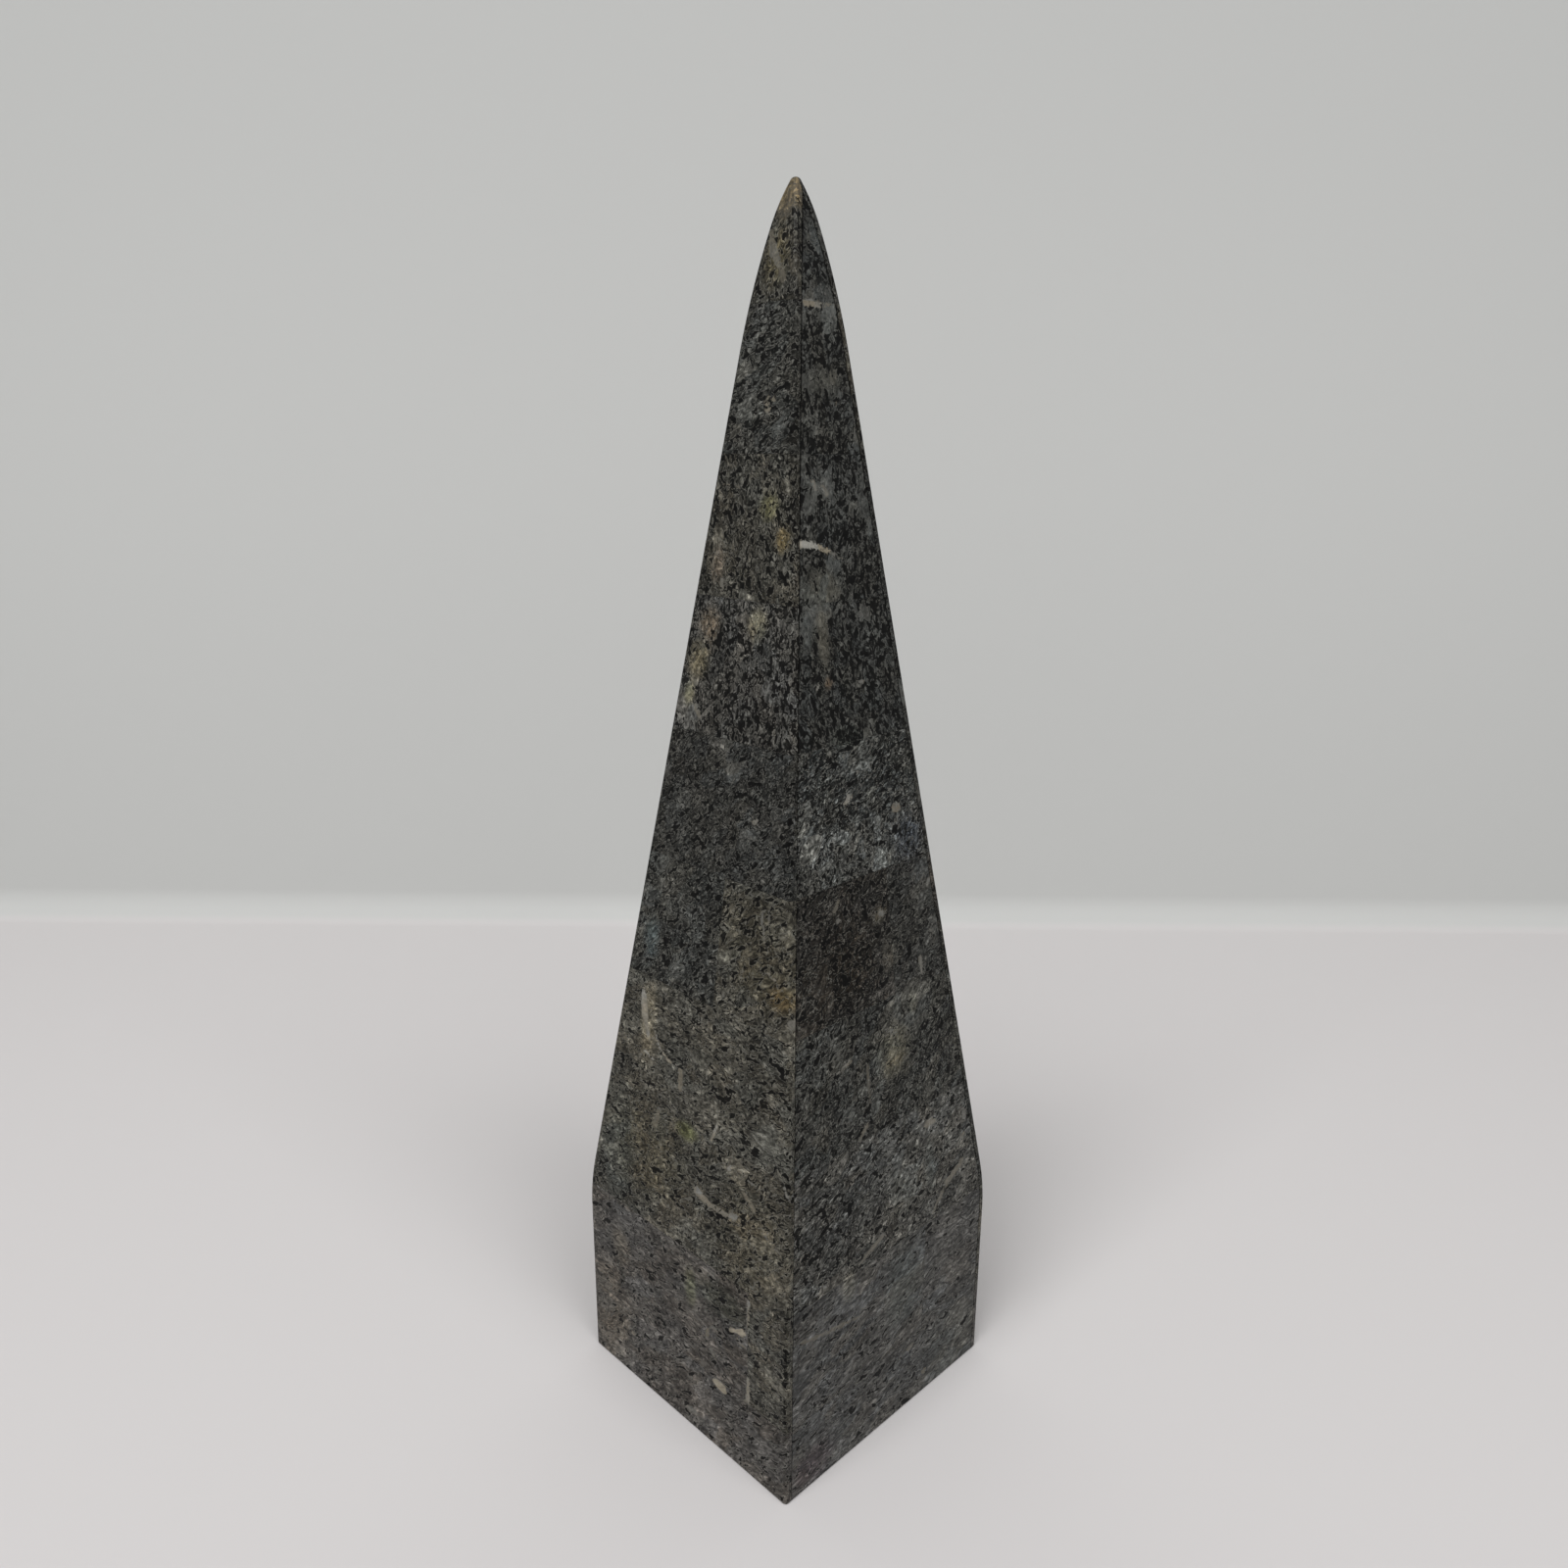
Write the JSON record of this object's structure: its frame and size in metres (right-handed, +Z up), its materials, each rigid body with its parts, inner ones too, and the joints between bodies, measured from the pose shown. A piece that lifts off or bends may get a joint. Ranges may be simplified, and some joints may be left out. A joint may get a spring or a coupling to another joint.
{
  "type": "obelisk ornament",
  "caption": "Tabletop obelisk ornament: square straight foot, long taper with a bowed top and a rounded tip, covered in polished dark fossil stone tiles over a core.",
  "frame": {"origin": "middle of the underside, on the surface it stands on", "axes": "+Z up towards the tip, -Y out of the front face, +X out of the right face"},
  "size_m": [0.101, 0.101, 0.4],
  "materials": {
    "grey_stone": "polished",
    "dark_stone": "polished",
    "soft_grey_stone": "polished",
    "core": "matt",
    "pad": "felt"
  },
  "bodies": {
    "root": {"core": "core", "base_pad": "pad", "front_tile_01": "soft_grey_stone", "front_tile_02": "soft_grey_stone", "front_tile_03": "grey_stone", "front_tile_04": "grey_stone", "front_tile_05": "grey_stone", "front_tile_06": "dark_stone", "front_tile_07": "grey_stone", "front_tile_08": "grey_stone", "front_tile_09": "dark_stone", "front_tile_10": "dark_stone", "right_tile_01": "soft_grey_stone", "right_tile_02": "soft_grey_stone", "right_tile_03": "grey_stone", "right_tile_04": "dark_stone", "right_tile_05": "dark_stone", "right_tile_06": "dark_stone", "right_tile_07": "grey_stone", "right_tile_08": "dark_stone", "right_tile_09": "dark_stone", "right_tile_10": "dark_stone", "back_tile_01": "soft_grey_stone", "back_tile_02": "soft_grey_stone", "back_tile_03": "grey_stone", "back_tile_04": "grey_stone", "back_tile_05": "grey_stone", "back_tile_06": "dark_stone", "back_tile_07": "grey_stone", "back_tile_08": "grey_stone", "back_tile_09": "dark_stone", "back_tile_10": "dark_stone", "left_tile_01": "soft_grey_stone", "left_tile_02": "soft_grey_stone", "left_tile_03": "grey_stone", "left_tile_04": "dark_stone", "left_tile_05": "dark_stone", "left_tile_06": "dark_stone", "left_tile_07": "grey_stone", "left_tile_08": "dark_stone", "left_tile_09": "dark_stone", "left_tile_10": "dark_stone"}
  },
  "joints": []
}
